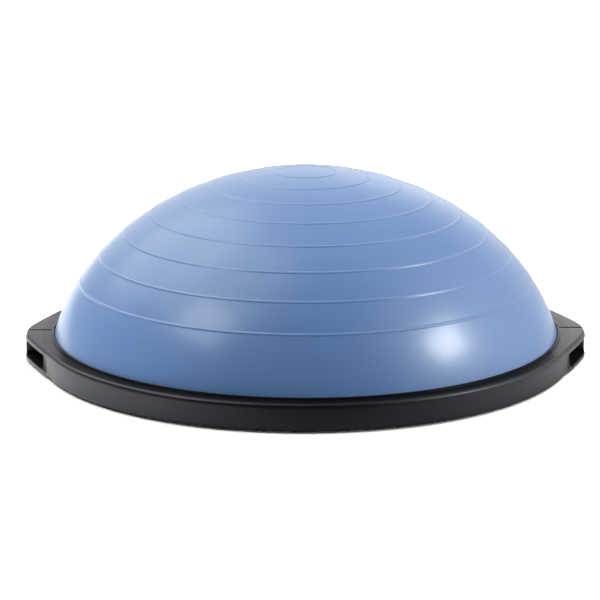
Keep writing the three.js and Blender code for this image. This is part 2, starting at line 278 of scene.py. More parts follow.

# The gutter round the dome, from the lip over the rim's flat, is left dull: its gloss is cut.
GUTTER_GLOSS = 0.07  # share of the rim's gloss that is left in it
GUTTER_RADII = (312.6 * MM, 315.1 * MM)  # where the dulling fades out, next to the shoulder
GUTTER_HEIGHTS = (LIP_TOP - 7 * MM, LIP_TOP - 4 * MM)  # where it begins, above the wall
GUTTER_ENDS = (280 * MM, 300 * MM)  # along X, where the handles begin
GUTTER_ON_HANDLES = 0.35  # share of the dulling that lies on the handles


class Shader:
    """A node material built in code: each call adds a node and returns its output socket."""

    def __init__(self, name):
        self.material = bpy.data.materials.new(name)
        self.material.use_nodes = True
        self.tree = self.material.node_tree
        self.surface = self.tree.nodes["Principled BSDF"]
        self.place = self.node("ShaderNodeTexCoord").outputs["Object"]

    def node(self, kind, **values):
        made = self.tree.nodes.new(kind)
        for key, value in values.items():
            setattr(made, key, value)
        return made

    def feed(self, socket, value):
        """Links another node's output to a socket, or sets the socket to a plain value."""
        if isinstance(value, bpy.types.NodeSocket):
            self.tree.links.new(value, socket)
        else:
            socket.default_value = value

    def noise(self, scale, detail=2.0, roughness=0.5, stretch=None):
        """Noise in space, at a scale in cycles per metre, between 0 and 1."""
        made = self.node("ShaderNodeTexNoise")
        place = self.place
        if stretch:
            mapping = self.node("ShaderNodeMapping")
            self.feed(mapping.inputs["Vector"], place)
            mapping.inputs["Scale"].default_value = stretch
            place = mapping.outputs["Vector"]
        self.feed(made.inputs["Vector"], place)
        made.inputs["Scale"].default_value = scale
        made.inputs["Detail"].default_value = detail
        made.inputs["Roughness"].default_value = roughness
        return made.outputs["Fac"]

    def cells(self, scale):
        """Distance to the nearest of many scattered points, at a scale in cells per metre."""
        made = self.node("ShaderNodeTexVoronoi")
        self.feed(made.inputs["Vector"], self.place)
        made.inputs["Scale"].default_value = scale
        return made.outputs["Distance"]

    def ramp(self, value, low, high, to_low=0.0, to_high=1.0):
        """The value moved from the range low to high into another one, and kept inside it."""
        made = self.node("ShaderNodeMapRange")
        self.feed(made.inputs["Value"], value)
        for name, number in (
            ("From Min", low), ("From Max", high), ("To Min", to_low), ("To Max", to_high)
        ):
            self.feed(made.inputs[name], number)
        return made.outputs["Result"]

    def math(self, operation, a, b=0.0):
        made = self.node("ShaderNodeMath", operation=operation)
        self.feed(made.inputs[0], a)
        self.feed(made.inputs[1], b)
        return made.outputs["Value"]

    def mix(self, share, a, b):
        made = self.node("ShaderNodeMix", data_type="RGBA")
        self.feed(made.inputs["Factor"], share)
        self.feed(made.inputs["A"], a)
        self.feed(made.inputs["B"], b)
        return made.outputs["Result"]

    def grey(self, value):
        made = self.node("ShaderNodeCombineColor")
        for socket in made.inputs:
            self.feed(socket, value)
        return made.outputs["Color"]

    def split(self, vector, axis):
        made = self.node("ShaderNodeSeparateXYZ")
        self.feed(made.inputs["Vector"], vector)
        return made.outputs[axis]

    def attribute(self, name):
        return self.node("ShaderNodeAttribute", attribute_name=name).outputs["Fac"]

    def edges(self):
        """1 on convex edges, 0 on flat surfaces."""
        point = self.node("ShaderNodeNewGeometry").outputs["Pointiness"]
        return self.ramp(point, 0.52, 0.62)

    def bump(self, height, distance, strength, normal=None):
        made = self.node("ShaderNodeBump")
        self.feed(made.inputs["Height"], height)
        made.inputs["Distance"].default_value = distance
        made.inputs["Strength"].default_value = strength
        if normal is not None:
            self.feed(made.inputs["Normal"], normal)
        return made.outputs["Normal"]

    def finish(self, **inputs):
        """Feeds the surface's inputs, named with _ for each space, and gives the material."""
        for name, value in inputs.items():
            self.feed(self.surface.inputs[name.replace("_", " ")], value)
        return self.material


def dome_material():
    """Soft blue vinyl: a cloudy colour, a fine pebble, handling marks, and ring crests worn lighter."""
    s = Shader("dome_vinyl")
    cloud = s.noise(9, 3, 0.55)
    speck = s.noise(420, 2, 0.6)
    scuff = s.ramp(s.noise(60, 6, 0.7, stretch=(1, 1, 4)), 0.62, 0.78)
    crest = s.attribute("crest")
    colour = s.mix(cloud, (0.126, 0.258, 0.54, 1), (0.144, 0.286, 0.60, 1))
    colour = s.mix(s.math("MULTIPLY", speck, 0.18), colour, (0.20, 0.32, 0.60, 1))
    colour = s.mix(s.math("MULTIPLY", crest, 0.22), colour, (0.24, 0.37, 0.66, 1))
    colour = s.mix(s.math("MULTIPLY", scuff, 0.10), colour, (0.30, 0.38, 0.55, 1))
    rough = s.math("ADD", s.ramp(cloud, 0.3, 0.7, 0.31, 0.35), s.math("MULTIPLY", scuff, 0.10))
    rough = s.math("ADD", rough, s.math("MULTIPLY", speck, 0.04))
    pebble = s.math("ADD", s.noise(900, 3, 0.55), s.math("MULTIPLY", s.cells(1300), 0.6))
    swell = s.bump(s.noise(14, 1, 0.4), 0.0006, 0.35)
    normal = s.bump(pebble, 0.00006, 0.5, swell)
    return s.finish(
        Base_Color=colour,
        Roughness=rough,
        IOR=1.5,
        Normal=normal,
        Coat_Weight=0.40,
        Coat_Roughness=0.17,
    )


def black_plastic(name, shade):
    """Black moulded plastic: a fine spark-eroded grain, faint handling marks and polished edges.

    On the rim, the finger pockets are left coarse, with their gloss cut so low that it paints them dark
    as shade, and the gutter round the dome is left dull.
    """
    s = Shader(name)
    cloud = s.noise(16, 3, 0.6)
    dust = s.ramp(s.noise(210, 5, 0.65), 0.55, 0.8)
    edge = s.edges()
    inside = s.attribute("pocket")
    gutter = gutter_share(s)
    dark = (shade, shade, shade * 1.3, 1)
    pale = (shade * 1.5, shade * 1.5, shade * 2.0, 1)
    colour = s.mix(cloud, dark, pale)
    colour = s.mix(s.math("MULTIPLY", dust, 0.05), colour, (0.07, 0.07, 0.075, 1))
    colour = s.mix(s.math("MULTIPLY", edge, 0.12), colour, (0.060, 0.060, 0.066, 1))
    rough = s.ramp(cloud, 0.3, 0.7, 0.31, 0.37)
    rough = s.math("ADD", rough, s.math("MULTIPLY", dust, 0.05))
    rough = s.math("ADD", rough, s.math("MULTIPLY", inside, 0.40))
    # the pockets' gloss is cut to paint their shade
    gloss = s.ramp(inside, 0, 1, RIM_GLOSS, POCKET_PAINTED_SHADE_GLOSS)
    gloss = s.math("MULTIPLY", gloss, s.ramp(gutter, 0, 1, 1.0, GUTTER_GLOSS))
    grain = s.math("ADD", s.noise(1500, 2, 0.6), s.math("MULTIPLY", s.cells(2100), 0.5))
    return s.finish(
        Base_Color=colour,
        Roughness=rough,
        Specular_IOR_Level=gloss,
        Specular_Tint=RIM_SHEEN,
        Normal=s.bump(grain, 0.00005, 0.30),
    )


def gutter_share(s):
    """1 on the lip and the flat round the dome, fading on the shoulder and towards the handles."""
    x, y, z = (s.split(s.place, axis) for axis in "XYZ")
    radius = s.math("SQRT", s.math("ADD", s.math("MULTIPLY", x, x), s.math("MULTIPLY", y, y)))
    near = s.ramp(radius, *GUTTER_RADII, 1.0, 0.0)
    high = s.ramp(z, *GUTTER_HEIGHTS)
    round_part = s.ramp(s.math("ABSOLUTE", x), *GUTTER_ENDS, 1.0, GUTTER_ON_HANDLES)
    return s.math("MULTIPLY", round_part, s.math("MULTIPLY", near, high))


def rubber_material():
    """Matt black rubber with a chalky bloom."""
    s = Shader("foot_rubber")
    bloom = s.noise(130, 4, 0.6)
    colour = s.mix(bloom, (0.010, 0.010, 0.011, 1), (0.030, 0.030, 0.032, 1))
    return s.finish(
        Base_Color=colour,
        Roughness=s.ramp(bloom, 0.3, 0.7, 0.72, 0.88),
        Normal=s.bump(s.noise(2200, 2), 0.00004, 0.5),
    )


def steel_material():
    """Zinc-plated screw steel with turning marks and a little tarnish."""
    s = Shader("screw_steel")
    mark = s.noise(1400, 3, 0.6, stretch=(1, 1, 0.1))
    tarnish = s.noise(240, 3, 0.5)
    colour = s.mix(tarnish, (0.46, 0.47, 0.48, 1), (0.62, 0.62, 0.60, 1))
    return s.finish(
        Base_Color=colour,
        Metallic=1.0,
        Roughness=s.ramp(mark, 0.3, 0.7, 0.26, 0.44),
        Normal=s.bump(mark, 0.00002, 0.4),
    )


def valve_material():
    """The valve's soft vinyl neck, a deeper blue than the dome."""
    s = Shader("valve_vinyl")
    cloud = s.noise(160, 3, 0.5)
    colour = s.mix(cloud, (0.07, 0.15, 0.36, 1), (0.10, 0.20, 0.43, 1))
    return s.finish(
        Base_Color=colour,
        Roughness=s.ramp(cloud, 0.3, 0.7, 0.38, 0.5),
        Normal=s.bump(s.noise(1500, 2), 0.00003, 0.4),
    )


def plug_material():
    """Off-white moulded plug, slightly translucent."""
    s = Shader("plug_plastic")
    cloud = s.noise(180, 3, 0.5)
    colour = s.mix(cloud, (0.70, 0.70, 0.66, 1), (0.80, 0.80, 0.77, 1))
    return s.finish(
        Base_Color=colour,
        Roughness=s.ramp(cloud, 0.3, 0.7, 0.32, 0.44),
        Subsurface_Weight=0.15,
        Subsurface_Scale=0.002,
        Normal=s.bump(s.noise(1300, 2), 0.00003, 0.3),
    )


# ---------------------------------------------------------------- dome

BLADDER_WALL = 3.5 * MM
BEAD_TOP = BLADDER_FLOOR + 6.4 * MM
BEAD_ROUND = 1.2 * MM
VALVE_HOLE = 8.9 * MM
ELLIPSE_STEPS = 4000  # short steps, in which the ellipse's length is measured
LINING_STRIDE = 160  # how many of those steps a face of the inner skin takes
DOME_SIDES = 240
PLAIN_STATIONS = 76  # rows of points from the crown to the bead
RING_STATIONS = 17  # finer rows across each ring
RING_REACH = 1.25 * RING_HALF_WIDTH  # how far those go either side of its centre line
RING_CLEARANCE = 1.6 * RING_HALF_WIDTH  # plain rows closer to it than this are left out


def dome_line(inset):
    """The ellipse's points from crown to floor as (arc length from the crown, radius, height)."""
    angle = np.linspace(math.pi / 2, 0, ELLIPSE_STEPS + 1)
    radius = (DOME_HALF_WIDTH - inset) * np.cos(angle)
    height = DOME_CENTRE + (DOME_HALF_HEIGHT - inset) * np.sin(angle)
    steps = np.hypot(np.diff(radius), np.diff(height))
    return np.concatenate([[0], np.cumsum(steps)]), radius, height


def ring_rise(distance):
    """How far the surface stands out at a distance from a ring's centre line."""
    share = np.clip(np.abs(distance) / RING_HALF_WIDTH, 0, 1)
    return RING_HEIGHT * np.cos(share * math.pi / 2) ** RING_SHARPNESS


def dome_outline():
    """(outline points from the bead up to the crown, ring height share at each point)."""
    length, radius, height = dome_line(0)
    rings = FIRST_RING + RING_PITCH * np.arange(RING_COUNT)
    reach = np.interp(-BEAD_TOP, -height, length)
    plain = np.linspace(0, reach, PLAIN_STATIONS)
    across = np.linspace(-RING_REACH, RING_REACH, RING_STATIONS)
    fine = (rings[:, None] + across).ravel()
    near = np.abs(plain[:, None] - rings).min(axis=1) < RING_CLEARANCE
    stations = np.unique(np.concatenate([plain[~near], fine, [0, reach]]))
    rise = sum(ring_rise(stations - ring) for ring in rings)
    r = np.interp(stations, length, radius)
    z = np.interp(stations, length, height)
    slope = np.stack([np.gradient(r, stations), np.gradient(z, stations)], axis=1)
    slope /= np.linalg.norm(slope, axis=1)[:, None]
    r = r - slope[:, 1] * rise
    z = z + slope[:, 0] * rise
    r[0] = 0
    return np.stack([r, z], axis=1)[::-1], (rise / RING_HEIGHT)[::-1]


def bead_outline():
    """The floor's underside from the valve's hole outwards, and the bead up to its top."""
    middle = BEAD_RADIUS - BEAD_ROUND
    line = [(VALVE_HOLE, BLADDER_FLOOR)]
    line += [(radius, BLADDER_FLOOR) for radius in np.linspace(60 * MM, middle, 5)]
    line += arc((middle, BLADDER_FLOOR + BEAD_ROUND), BEAD_ROUND, -90, 0, 4)[1:]
    line += arc((middle, BEAD_TOP - BEAD_ROUND), BEAD_ROUND, 0, 90, 4)
    return line


def lining_outline():
    """The inner skin from the crown down to the floor's upper face, and in to the valve's hole."""
    _, radius, height = dome_line(BLADDER_WALL)
    floor_top = BLADDER_FLOOR + BLADDER_WALL
    shown = zip(radius[::LINING_STRIDE], height[::LINING_STRIDE])
    line = [(r, z) for r, z in shown if z > floor_top + BLADDER_WALL]
    edge = float(np.interp(-floor_top, -height, radius))
    return line + [(edge, floor_top), (150 * MM, floor_top), (VALVE_HOLE, floor_top)]


def build_dome(material):
    """The air bag: ringed dome, clamped bead, flat floor with the valve's hole, and its inner skin."""
    outer, crest = dome_outline()
    outline = bead_outline() + list(outer) + lining_outline()
    mesh = turned("dome_bladder_skin", outline, DOME_SIDES, closed=True)
    mark_crests(mesh, outer, crest)
    piece = new_piece("dome_skin", smooth(mesh), BODY, material, ["dome_bladder"])


def mark_crests(mesh, outer, crest):
    """Stores how far up a ring each vertex is, which the material wears lighter."""
    co = vertex_places(mesh)
    height = outer[:, 1]
    order = np.argsort(height)
    share = np.interp(co[:, 2], height[order], np.asarray(crest)[order])
    distance = np.hypot(co[:, 0], co[:, 1]) - np.interp(co[:, 2], height[order], outer[order, 0])
    share[np.abs(distance) > 1 * MM] = 0
    store(mesh, "crest", share)


# ---------------------------------------------------------------- rim

# Plan outline of a handle, as (x, y) in its first quarter.
HANDLE_TIP_HALF = 17 * MM
HANDLE_ROOT = (300 * MM, 103 * MM)  # where a flank meets the round wall
HANDLE_BEND = (319.3 * MM, 61 * MM)
HANDLE_REACH_ANGLE = math.radians(26)
CORNER_SPREAD = math.radians(1.6)  # over what angle the outline's corners are rounded

# The finger pocket, open outwards.
POCKET_BACK = PLATE_FLAT + 3.5 * MM
POCKET_STRAIGHT_HALF = 50 * MM
POCKET_BEND_HALF = 74 * MM
POCKET_MOUTH = (295.4 * MM, 115 * MM)  # where the pocket's scooped end runs out on the wall
POCKET_CEILING = 26 * MM
POCKET_FLOOR = 5 * MM
POCKET_EDGE = 0.5 * MM
POCKET_SILL = 1.8 * MM  # a low bead along the outer edge of the pocket's floor
POCKET_WEB = 3 * MM  # end wall of each half ring, which divides the pocket at the joint

# Radial section of the rim.
LIP_RADIUS = 299.8 * MM
LIP_ROUND = 1 * MM
LIP_FOOT = 301.4 * MM
RIM_FLAT = LIP_TOP - 2.9 * MM
SHOULDER_ROUND = 4.2 * MM
SHOULDER_DROP = 5.6 * MM
BOTTOM_ROUND = 4.2 * MM
HANDLE_BOTTOM_ROUND = 1.5 * MM
RIM_INNER = 314.2 * MM
RIM_CEILING = 26.8 * MM
CLAMP_RADIUS = BEAD_RADIUS + 0.7 * MM
CLAMP_TOP = BLADDER_FLOOR + 6.8 * MM

# The joint between the two half rings.
HALF_SEAM = 0.3 * MM
SEAM_CHAMFER = 0.55 * MM
SEAM_DROP = 1.6 * MM  # how deep the joint line is sunk into the rim's top
SEAM_LEAD = 2 * MM  # over what length each half ring falls away to it
SUNK_HEIGHTS = (LIP_TOP - 9 * MM, LIP_TOP - 4 * MM)  # where the sinking begins, and is full

HANDLE_STEPS = 46  # sections along each half of a handle
ROUND_STEPS = 44  # sections from there to the middle of the round part


def polar_table(points):
    """(angles, radii) of a run of points with growing angle, for interpolation."""
    points = np.array(points)
    return np.arctan2(points[:, 1], points[:, 0]), np.hypot(points[:, 0], points[:, 1])


def handle_outline():
    """A quarter of the plan outline: the straight tip, a rounded corner and the curved flank."""
    corner = (TIP, HANDLE_TIP_HALF)
    before = (TIP, HANDLE_TIP_HALF - 6 * MM)
    flank = curve(corner, HANDLE_BEND, HANDLE_ROOT, 40)
    after = flank[2]
    return polar_table([(TIP, 0), before, *curve(before, corner, after, 8), *flank[3:]])


def pocket_outline():
    """A quarter of the pocket's back wall: straight, then curving out to the round wall."""
    straight = (POCKET_BACK, POCKET_STRAIGHT_HALF)
    bend = (POCKET_BACK, POCKET_BEND_HALF)
    return polar_table([(POCKET_BACK, 0), straight, *curve(straight, bend, POCKET_MOUTH, 30)])


outline_table = handle_outline()
pocket_table = pocket_outline()


def flat_reach(x, angle):
    """Radius at which a straight edge at x is met; past 60 degrees no straight edge is left."""
    return x / np.maximum(np.cos(angle), 0.5)


def outer_radius(angle):
    """The rim's plan radius, with a small fillet where a flank meets the round wall."""
    radii = []
    for share in np.linspace(-1, 1, 9):
        handle = np.interp(np.abs(angle + share * CORNER_SPREAD), *outline_table, right=0)
        radii.append(np.maximum(handle, RIM_RADIUS))
    return np.minimum(np.mean(radii, axis=0), flat_reach(TIP, angle))


def pocket_depth(angle, outer):
    """How far the pocket's back wall is behind the plan outline, 0 where there is no pocket."""
    back = np.interp(angle, *pocket_table, right=1)
    return max(0.0, float(outer - back))


def lip_line():
    """The lip that clamps the bead: an undercut, a rounded top and a fall to the rim's flat."""
    top = (LIP_RADIUS + LIP_ROUND, LIP_TOP)
    fall = (LIP_RADIUS + 3.2 * MM, RIM_FLAT + 0.7 * MM)
    line = [(LIP_FOOT, CLAMP_TOP), (LIP_RADIUS, LIP_TOP - LIP_ROUND)]
    line += curve(line[-1], (LIP_RADIUS, LIP_TOP), top, 5)
    line += curve(top, (LIP_RADIUS + 2.6 * MM, LIP_TOP), fall, 6)
    line += curve(fall, (LIP_RADIUS + 3.6 * MM, RIM_FLAT), (LIP_RADIUS + 5 * MM, RIM_FLAT), 4)
    return line


def shoulder_line(outer):
    """The rounded edge between the rim's flat and its wall."""
    start = (outer - SHOULDER_ROUND, RIM_FLAT - 0.15 * MM)
    bend = (outer - 0.4 * MM, RIM_FLAT - 0.5 * MM)
    return [start, *curve(start, bend, (outer, RIM_FLAT - SHOULDER_DROP), 12)]


def pocket_share_at(depth):
    """How far a section has turned from the round wall (0) into the pocket's full height (1)."""
    share = min(1.0, depth / (3 * MM))
    return share * share * (3 - 2 * share)


def pocket_line(outer, depth):
    """The wall from shoulder to foot: flat where the rim is round, a pocket in a handle."""
    ceiling, floor = POCKET_CEILING, POCKET_FLOOR
    sill = floor + POCKET_SILL
    fillet = min(3 * MM, depth / 2)
    back = outer - depth
    hollow = [(outer, ceiling + 0.2 * MM), (outer - POCKET_EDGE / 2, ceiling - 0.1 * MM)]
    hollow += [(outer - depth * share, ceiling - 0.15 * MM) for share in (0.25, 0.5, 0.75)]
    hollow += curve((back + fillet, ceiling - 0.2 * MM), (back, ceiling), (back, ceiling - 3 * MM), 4)
    hollow += [(back, floor + 13 * MM), (back, floor + 8 * MM)]
    hollow += curve((back, floor + 3 * MM), (back, floor), (back + fillet, floor + 0.2 * MM), 4)
    hollow += [(outer - depth * share, floor + 0.1 * MM) for share in (0.75, 0.45, 0.14)]
    hollow += [(outer - min(1.3 * MM, depth / 3), sill), (outer, sill - 0.8 * MM)]
    bottom = RIM_BOTTOM + BOTTOM_ROUND + 0.2 * MM
    heights = np.linspace(ceiling + 0.2 * MM, bottom, len(hollow))
    share = pocket_share_at(depth)
    return [
        (outer + (r - outer) * share, flat + (z - flat) * share)
        for (r, z), flat in zip(hollow, heights)
    ]


def foot_line(outer, depth):
    """The rounded bottom edge of the wall, tighter under a pocket."""
    foot = BOTTOM_ROUND + (HANDLE_BOTTOM_ROUND - BOTTOM_ROUND) * pocket_share_at(depth)
    start = (outer, RIM_BOTTOM + foot)
    return [start, *curve(start, (outer, RIM_BOTTOM), (outer - foot, RIM_BOTTOM), 6)]


def channel_line(angle):
    """The rim's inside: a wall round the platform, a ceiling and the step over the bead."""
    inner = min(RIM_INNER, flat_reach(PLATE_FLAT + 0.5 * MM, angle))
    fillet = 3 * MM
    wall_top = (inner, RIM_CEILING - fillet)
    line = [(inner, RIM_BOTTOM), wall_top]
    line += curve(wall_top, (inner, RIM_CEILING), (inner - fillet, RIM_CEILING), 3)
    return line + [(CLAMP_RADIUS, RIM_CEILING), (CLAMP_RADIUS, CLAMP_TOP)]


def rim_section(angle, webbed):
    """The rim's closed section at an angle from the X axis (0 to 90 degrees), as (radius, height).

    Every section has the same number of points: the pocket's points lie flat on the wall where
    the rim is round, and in the end wall (webbed) that closes a half ring at the joint.
    """
    outer = float(outer_radius(angle))
    depth = pocket_depth(angle, outer)
    line = lip_line() + shoulder_line(outer)
    line += pocket_line(outer, 0.0 if webbed else depth)
    line += foot_line(outer, depth)
    return np.array(line + channel_line(angle))


def inset_section(section, amount):
    """The section moved in by an amount, which chamfers the end of a half ring."""
    ahead = np.roll(section, -1, axis=0) - section
    behind = section - np.roll(section, 1, axis=0)
    ahead /= np.linalg.norm(ahead, axis=1)[:, None] + 1e-12
    behind /= np.linalg.norm(behind, axis=1)[:, None] + 1e-12
    along = ahead + behind
    along /= np.linalg.norm(along, axis=1)[:, None] + 1e-12
    radius, height = section.T
    area = np.sum(radius * np.roll(height, -1) - np.roll(radius, -1) * height)
    inward = np.stack([-along[:, 1], along[:, 0]], axis=1) * math.copysign(1, area)
    return section + inward * amount


def seam_end(section):
    """The chamfered end of a half ring, with its top sunk to draw the joint line."""
    end = inset_section(section, SEAM_CHAMFER)
    end[:, 1] -= SEAM_DROP * np.interp(end[:, 1], SUNK_HEIGHTS, (0, 1))
    return end


def half_ring_mesh(name, side):
    """Half of the rim, from one handle's seam round to the other's; side is -1 front, 1 rear."""
    near = np.linspace(0, HANDLE_REACH_ANGLE, HANDLE_STEPS + 1)[2:]  # past the end wall
    far = np.linspace(HANDLE_REACH_ANGLE, math.pi / 2, ROUND_STEPS + 1)[1:]
    quarter = np.concatenate([near, far])
    angles = np.concatenate([quarter, math.pi - quarter[::-1][1:]])
    web = HALF_SEAM + POCKET_WEB
    ends = [(HALF_SEAM, True), (HALF_SEAM + SEAM_LEAD, True), (web, True), (web + 0.05 * MM, False)]
    stations = [(0.0, offset, webbed) for offset, webbed in ends]
    stations += [(angle, None, False) for angle in angles]
    stations += [(math.pi, offset, webbed) for offset, webbed in reversed(ends)]
    loops = []
    for angle, offset, webbed in stations:
        section = rim_section(min(angle, math.pi - angle), webbed)
        if offset == HALF_SEAM:
            section = seam_end(section)
        radius, height = section.T
        across = radius * math.sin(angle) if offset is None else np.full_like(radius, offset)
        loops.append(np.stack([radius * math.cos(angle), side * across, height], axis=1))
    return lofted(name, loops)


def mark_pockets(mesh):
    """Stores which vertices are inside a finger pocket, where the material is rougher and its gloss is
    cut to paint shade.
    """
    co = vertex_places(mesh)
    angle = np.arctan2(np.abs(co[:, 1]), np.abs(co[:, 0]))
    inwards = outer_radius(angle) - np.hypot(co[:, 0], co[:, 1])
    deep = np.clip(inwards / MM, 0, 1) * (np.abs(co[:, 0]) > POCKET_BACK - 0.5 * MM)
    margin = 0.4 * MM
    level = (co[:, 2] > POCKET_FLOOR - margin) & (co[:, 2] < POCKET_CEILING + margin)
    store(mesh, "pocket", deep * level)


def build_rim(material):
    """The two half rings."""
    for name, side in (("front", -1), ("rear", 1)):
        mesh = half_ring_mesh(f"rim_half_{name}", side)
        mark_pockets(mesh)
        new_piece(f"rim_{name}", smooth(mesh), BODY, material, [f"rim_ring_{name}"])


# ---------------------------------------------------------------- platform and small pieces


def numbered(stem, count):
    return [f"{stem}_{i + 1:02d}" for i in range(count)]


def centre_of(node):
    low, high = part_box(node)
    return (low + high) / 2


SCREWS = numbered("rim_screw", 16)
FEET = numbered("rubber_foot", 8)


def tread_line():
    """The shallow ring grooves under the platform, from the valve's cup outwards."""
    groove, land, depth, slope = 1.6 * MM, 6.4 * MM, 0.6 * MM, 0.3 * MM
    line = []
    for start in np.arange(34 * MM, 232 * MM, groove + land):
        line += [
            (start, RIM_BOTTOM),
            (start + slope, RIM_BOTTOM + depth),
            (start + groove - slope, RIM_BOTTOM + depth),
            (start + groove, RIM_BOTTOM),
        ]
    return line


def platform_outline():
    """Radial section of the platform: a treaded underside, a clamped edge and ring ribs above."""
    neck, cup, hub = 9 * MM, 22 * MM, 25 * MM
    ring_rib = (160 * MM, 163 * MM)
    bead_wall = (300.4 * MM, 304.4 * MM)
    roof, roof_top = 10.5 * MM, 13.5 * MM
    plate_top, flange_top = 5 * MM, 7.5 * MM
    edge = 1 * MM
    line = [(cup, roof), *arc((cup + edge, RIM_BOTTOM + edge), edge, 180, 270, 5), *tread_line()]
    line += [(290 * MM, RIM_BOTTOM)]
    line += arc((PLATE_RADIUS - edge, RIM_BOTTOM + edge), edge, -90, 0, 4)
    line += [(PLATE_RADIUS, flange_top), (bead_wall[1], flange_top)]
    line += [(bead_wall[1], RIB_TOP), (bead_wall[0], RIB_TOP), (bead_wall[0], plate_top)]
    line += [(ring_rib[1], plate_top), (ring_rib[1], RIB_TOP)]
    line += [(ring_rib[0], RIB_TOP), (ring_rib[0], plate_top)]
    line += [(hub, plate_top), (hub, RIB_TOP), (cup, RIB_TOP), (cup, roof_top)]
    return line + [(neck, roof_top), (neck, roof)]


def radial_ribs():
    """Twelve ribs from the hub to the bead wall."""
    count, half = 12, 1.5 * MM
    rib = box_mesh("rib", (23 * MM, -half, 4 * MM), (301 * MM, half, RIB_TOP - 0.02 * MM))
    turns = [Matrix.Rotation((i + 0.5) * TURN / count, 4, "Z") for i in range(count)]
    return joined("ribs", [moved(rib, turn) for turn in turns])


def screw_recess():
    """Outline of a screw's recess: a wider mouth, a straight well and a clearance hole."""
    mouth, well, hole = 4.3 * MM, 3.9 * MM, 2.05 * MM
    mouth_top, seat, top = 2.4 * MM, 5.1 * MM, 9 * MM
    return [(0, 0), (mouth, 0), (well, mouth_top), (well, seat), (hole, seat), (hole, top), (0, top)]


def foot_recess(node):
    """Outline of a foot's recess, a little larger than the foot."""
    low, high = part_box(node)
    radius = (high.x - low.x) / 2 + 0.4 * MM
    top = high.z + 0.3 * MM
    return [(0, 0), (radius, 0), (radius, top), (0, top)]


def knife_under(node, outline, steps):
    """A cutting tool turned from an outline, under the middle of a node."""
    middle = centre_of(node)
    return moved(turned("knife", outline, steps), Matrix.Translation((middle.x, middle.y, 0)))


def build_platform(material):
    """The platform: turned, ribbed, cut flat at the handles, and recessed for screws and feet."""
    mesh = turned("platform_body", platform_outline(), 192, closed=True)
    mesh = cut(mesh, radial_ribs(), "UNION")
    knives = [knife_under(node, screw_recess(), 40) for node in SCREWS]
    knives += [knife_under(node, foot_recess(node), 72) for node in FEET]
    mesh = cut(mesh, joined("knives", knives), "DIFFERENCE")
    reach = PLATE_RADIUS + 1 * MM
    between = box_mesh("between", (-PLATE_FLAT, -reach, 0), (PLATE_FLAT, reach, LIP_TOP))
    mesh = smooth(cut(mesh, between, "INTERSECT"), math.radians(28))
    new_piece("platform", mesh, BODY, material, ["base_platform"])


HEAD_RADIUS = 3.5 * MM
HEAD_HEIGHT = 2.3 * MM
SHANK_RADIUS = 1.75 * MM
CORE_RADIUS = 1.3 * MM
THREAD_PITCH = 1.4 * MM
THREAD_LENGTH = 16 * MM


def screw_head_mesh():
    """A pan head, downwards, with a cross recess and a short stub of the core on top."""
    start, edge = (1.6 * MM, 0.05 * MM), (HEAD_RADIUS, 1.6 * MM)
    head = [(0, 0), start, *curve(start, (HEAD_RADIUS, 0.1 * MM), edge, 6)]
    stub_top = HEAD_HEIGHT + 1 * MM
    head += [(HEAD_RADIUS, HEAD_HEIGHT), (CORE_RADIUS, HEAD_HEIGHT), (CORE_RADIUS, stub_top)]
    mesh = turned("screw_head", head + [(0, stub_top)], 40)
    long, half, deep = 1.9 * MM, 0.42 * MM, 1.3 * MM
    for x, y in ((long, half), (half, long)):
        mesh = cut(mesh, box_mesh("slot", (-x, -y, -1 * MM), (x, y, deep)), "DIFFERENCE")
    return mesh


def screw_thread_mesh():
    """The threaded core, with a helical ridge and a tapered point at its upper end."""
    around, rows = 18, 70
    stub = 0.6 * MM  # the thread's lower end is buried in the head
    loops = []
    for row in range(rows + 1):
        z = row / rows * THREAD_LENGTH
        taper = min(1.0, (THREAD_LENGTH - z) / (3 * MM) + 0.12)
        height = HEAD_HEIGHT + stub + z * (THREAD_LENGTH - stub) / THREAD_LENGTH
        loop = []
        for i in range(around):
            angle = i / around * TURN
            phase = (z / THREAD_PITCH - i / around) % 1.0
            ridge = max(0.0, 1 - abs(phase - 0.5) / 0.22)
            radius = (CORE_RADIUS + (SHANK_RADIUS - CORE_RADIUS) * ridge) * taper
            loop.append((radius * math.cos(angle), radius * math.sin(angle), height))
        loops.append(loop)
    return lofted("screw_thread", loops)


def build_screws(material):
    """Sixteen self-tapping screws, each turned to an angle of its own."""
    mesh = smooth(cut(screw_head_mesh(), screw_thread_mesh(), "UNION"))
    for index, node in enumerate(SCREWS):
        low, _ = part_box(node)
        middle = centre_of(node)
        turn = Matrix.Rotation(0.7 * index, 4, "Z")
        copy = moved(mesh, Matrix.Translation((middle.x, middle.y, low.z)) @ turn)
        new_piece(f"screw_{index + 1:02d}", copy, BODY, material, [node])


def foot_mesh(radius, height):
    """A rubber foot with a rounded rim, a dished middle and two grip grooves underneath."""
    dish, depth, width, slope = 0.35 * MM, 0.5 * MM, 1.3 * MM, 0.2 * MM
    line = [(0, dish), (2.2 * MM, dish), (2.6 * MM, 0)]
    for start in (6 * MM, 10 * MM):
        end = start + width
        line += [(start, 0), (start + slope, depth), (end - slope, depth), (end, 0)]
    rounding, chamfer = 0.8 * MM, 0.3 * MM
    line += arc((radius - rounding, rounding), rounding, -90, 0, 5)
    line += [(radius, height - chamfer), (radius - chamfer, height), (0, height)]
    return turned("foot_body", line, 72)


def build_feet(material):
    """Eight rubber feet in their recesses."""
    for index, node in enumerate(FEET):
        low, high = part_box(node)
        middle = centre_of(node)
        mesh = foot_mesh((high.x - low.x) / 2, high.z - low.z)
        mesh.transform(Matrix.Translation((middle.x, middle.y, low.z)))
        new_piece(f"foot_{index + 1:02d}", smooth(mesh), BODY, material, [node])


